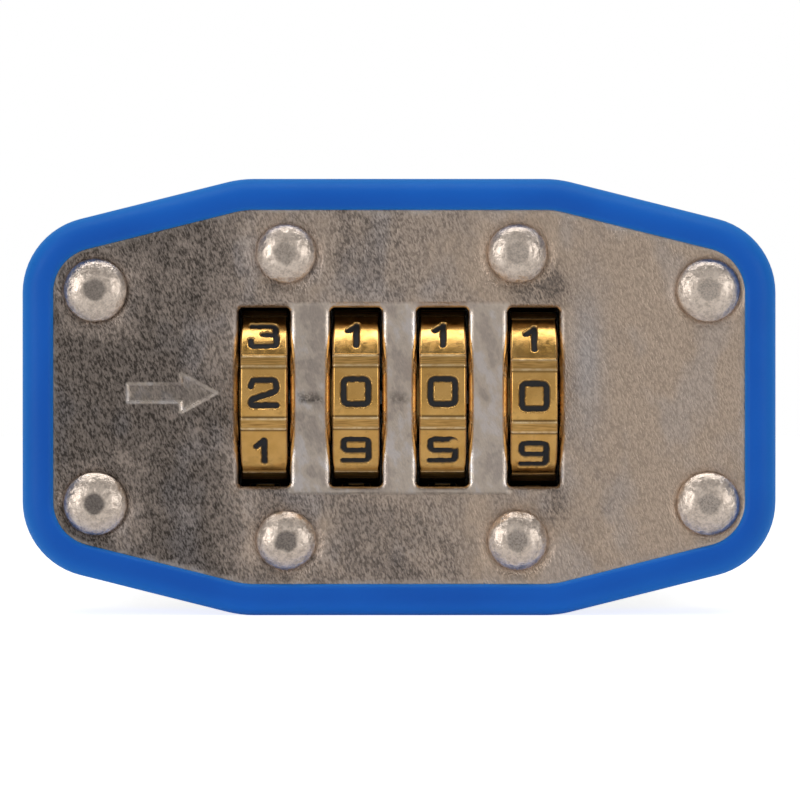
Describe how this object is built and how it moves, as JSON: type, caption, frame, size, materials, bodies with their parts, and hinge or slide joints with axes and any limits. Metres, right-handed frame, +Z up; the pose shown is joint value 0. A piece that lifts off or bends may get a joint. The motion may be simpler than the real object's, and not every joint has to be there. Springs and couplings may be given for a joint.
{
  "type": "combination padlock",
  "caption": "Laminated steel padlock with brass number wheels in windows on its base, a coloured bumper round that end and a round steel shackle that slides out and swings.",
  "frame": {"origin": "middle of the bounding box on the plane that the bumper's back rests on, with the shackle drawn open", "axes": "+X along the row of dials, from the arrow's side to the shackle's heel side; +Y from the dial face to the shackle; +Z up out of the lying lock, across its thickness"},
  "size_m": [0.0554, 0.0906, 0.0321],
  "materials": {
    "face_nickel": "rough nickel plate with an orange-peel texture and faint brown staining",
    "rivet_nickel": "bright hammered nickel with a dull flat centre",
    "bumper_blue": "glossy saturated blue soft plastic",
    "dial_brass": "polished brass with black-filled numerals and brushed ribs",
    "sleeve_brass": "plain turned brass",
    "lamination_steel": "zinc-plated steel laminations with rolled edges",
    "shackle_chrome": "bright plated hardened steel",
    "inner_steel": "oiled spring steel"
  },
  "bodies": {
    "case": {"face_plate": "face_nickel", "lamination_01": "lamination_steel", "lamination_02": "lamination_steel", "lamination_03": "lamination_steel", "lamination_04": "lamination_steel", "lamination_05": "lamination_steel", "lamination_06": "lamination_steel", "lamination_07": "lamination_steel", "lamination_08": "lamination_steel", "lamination_09": "lamination_steel", "lamination_10": "lamination_steel", "lamination_11": "lamination_steel", "lamination_12": "lamination_steel", "lamination_13": "lamination_steel", "lamination_14": "lamination_steel", "lamination_15": "lamination_steel", "lamination_16": "lamination_steel", "lamination_17": "lamination_steel", "cap_plate": "face_nickel", "bumper": "bumper_blue", "rivet_1": "rivet_nickel", "rivet_2": "rivet_nickel", "rivet_3": "rivet_nickel", "rivet_4": "rivet_nickel", "rivet_5": "rivet_nickel", "rivet_6": "rivet_nickel", "rivet_7": "rivet_nickel", "rivet_8": "rivet_nickel", "dial_spindle": "inner_steel", "detent_spring": "inner_steel", "shackle_spring": "inner_steel"},
    "carriage": {"locking_comb": "inner_steel", "shackle_fork": "inner_steel"},
    "shackle": {"shackle": "shackle_chrome"},
    "dial_1": {"dial_wheel_1": "dial_brass", "dial_sleeve_1": "sleeve_brass"},
    "dial_2": {"dial_wheel_2": "dial_brass", "dial_sleeve_2": "sleeve_brass"},
    "dial_3": {"dial_wheel_3": "dial_brass", "dial_sleeve_3": "sleeve_brass"},
    "dial_4": {"dial_wheel_4": "dial_brass", "dial_sleeve_4": "sleeve_brass"}
  },
  "joints": [
    {"name": "shackle_travel", "type": "slide", "parent": "case", "child": "carriage", "axis": [0, 1, 0], "range_m": [-0.01, 0], "stiffness_N_per_m": 300, "springref_m": 0.002, "deforming": ["shackle_spring"]},
    {"name": "shackle_swivel", "type": "hinge", "parent": "carriage", "child": "shackle", "pos_m": [0.016, 0, 0.01605], "axis": [0, 1, 0], "range_deg": [0, 180]},
    {"name": "dial_1_spin", "type": "hinge", "parent": "case", "child": "dial_1", "pos_m": [-0.0099, -0.03796, 0.01605], "axis": [1, 0, 0], "continuous": true},
    {"name": "dial_2_spin", "type": "hinge", "parent": "case", "child": "dial_2", "pos_m": [-0.00315, -0.03796, 0.01605], "axis": [1, 0, 0], "continuous": true},
    {"name": "dial_3_spin", "type": "hinge", "parent": "case", "child": "dial_3", "pos_m": [0.0032, -0.03796, 0.01605], "axis": [1, 0, 0], "continuous": true},
    {"name": "dial_4_spin", "type": "hinge", "parent": "case", "child": "dial_4", "pos_m": [0.00988, -0.03796, 0.01605], "axis": [1, 0, 0], "continuous": true}
  ]
}
